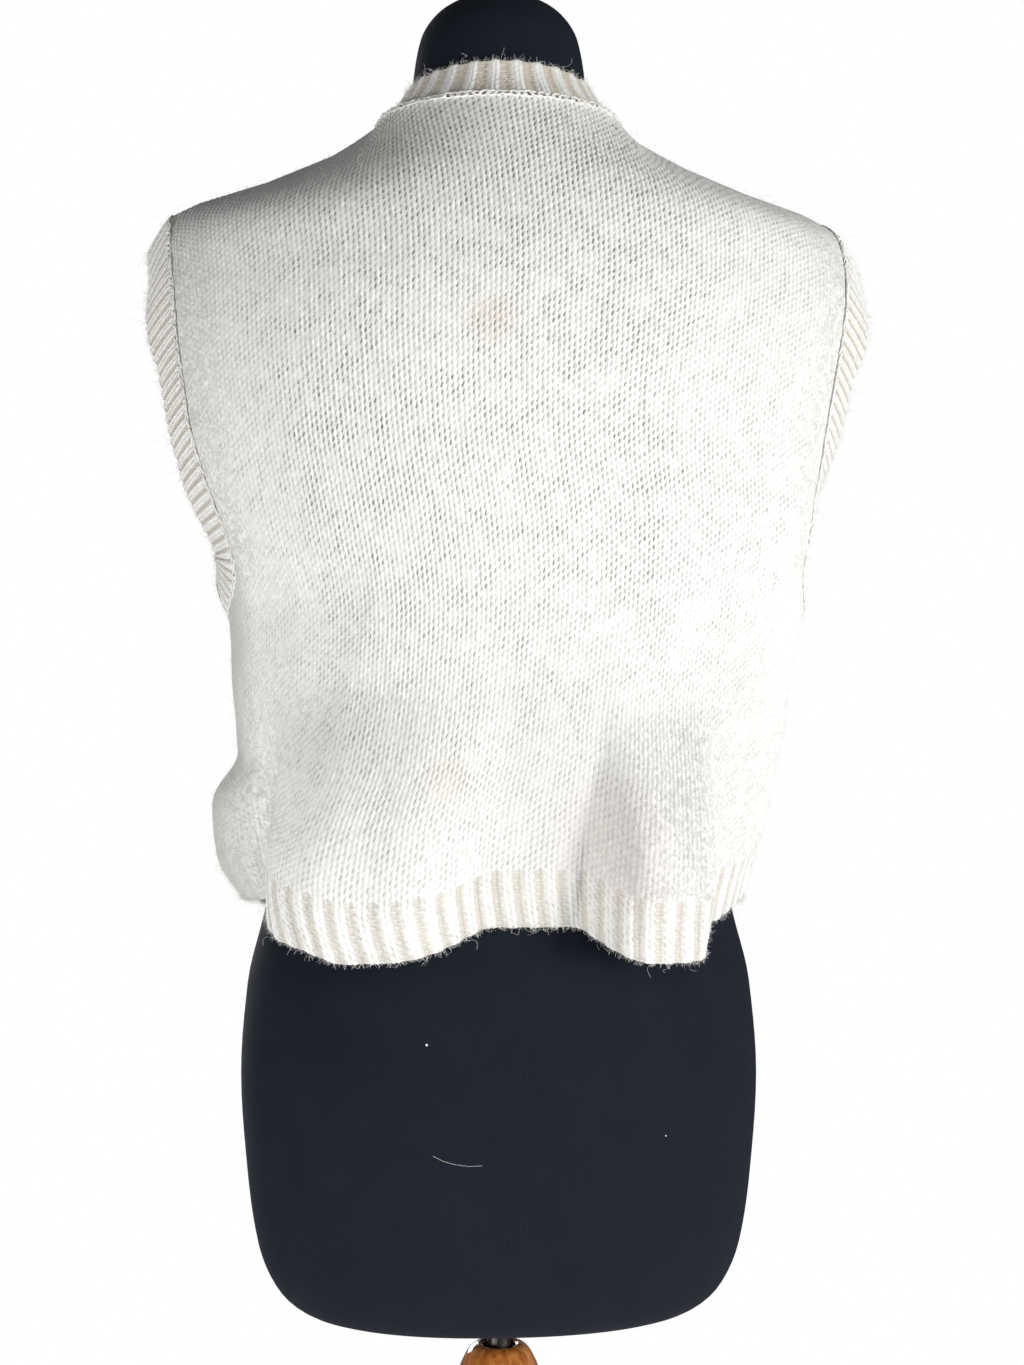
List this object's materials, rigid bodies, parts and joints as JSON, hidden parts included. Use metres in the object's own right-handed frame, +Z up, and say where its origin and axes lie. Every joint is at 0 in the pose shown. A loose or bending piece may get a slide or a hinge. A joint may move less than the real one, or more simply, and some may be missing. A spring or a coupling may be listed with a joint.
{
  "type": "cropped sweater vest on a dress form",
  "caption": "Cropped, boxy knitted sweater vest with ribbed edges, worn by a limbless dress form on a turned wooden stand.",
  "frame": {"origin": "centre of the underside of the stand's base, on the floor", "axes": "+Z up along the pole, -Y the front of the garment, +X its wearer's left"},
  "size_m": [0.4448, 0.37, 1.5633],
  "materials": {
    "wool": "soft knitted wool, matt and slightly fuzzy",
    "jersey": "black knitted cover, matt",
    "varnished_wood": "reddish brown, glossy varnish",
    "pale_wood": "dull varnish",
    "dark_steel": "dark and satin"
  },
  "bodies": {
    "root": {"back_panel": "wool", "front_panel": "wool", "hem_rib_back": "wool", "hem_rib_front": "wool", "neckband": "wool", "armband_left": "wool", "armband_right": "wool", "form_torso": "jersey", "neck_cap": "pale_wood", "pole": "dark_steel", "turned_post": "varnished_wood", "stand_base": "varnished_wood"}
  },
  "joints": []
}
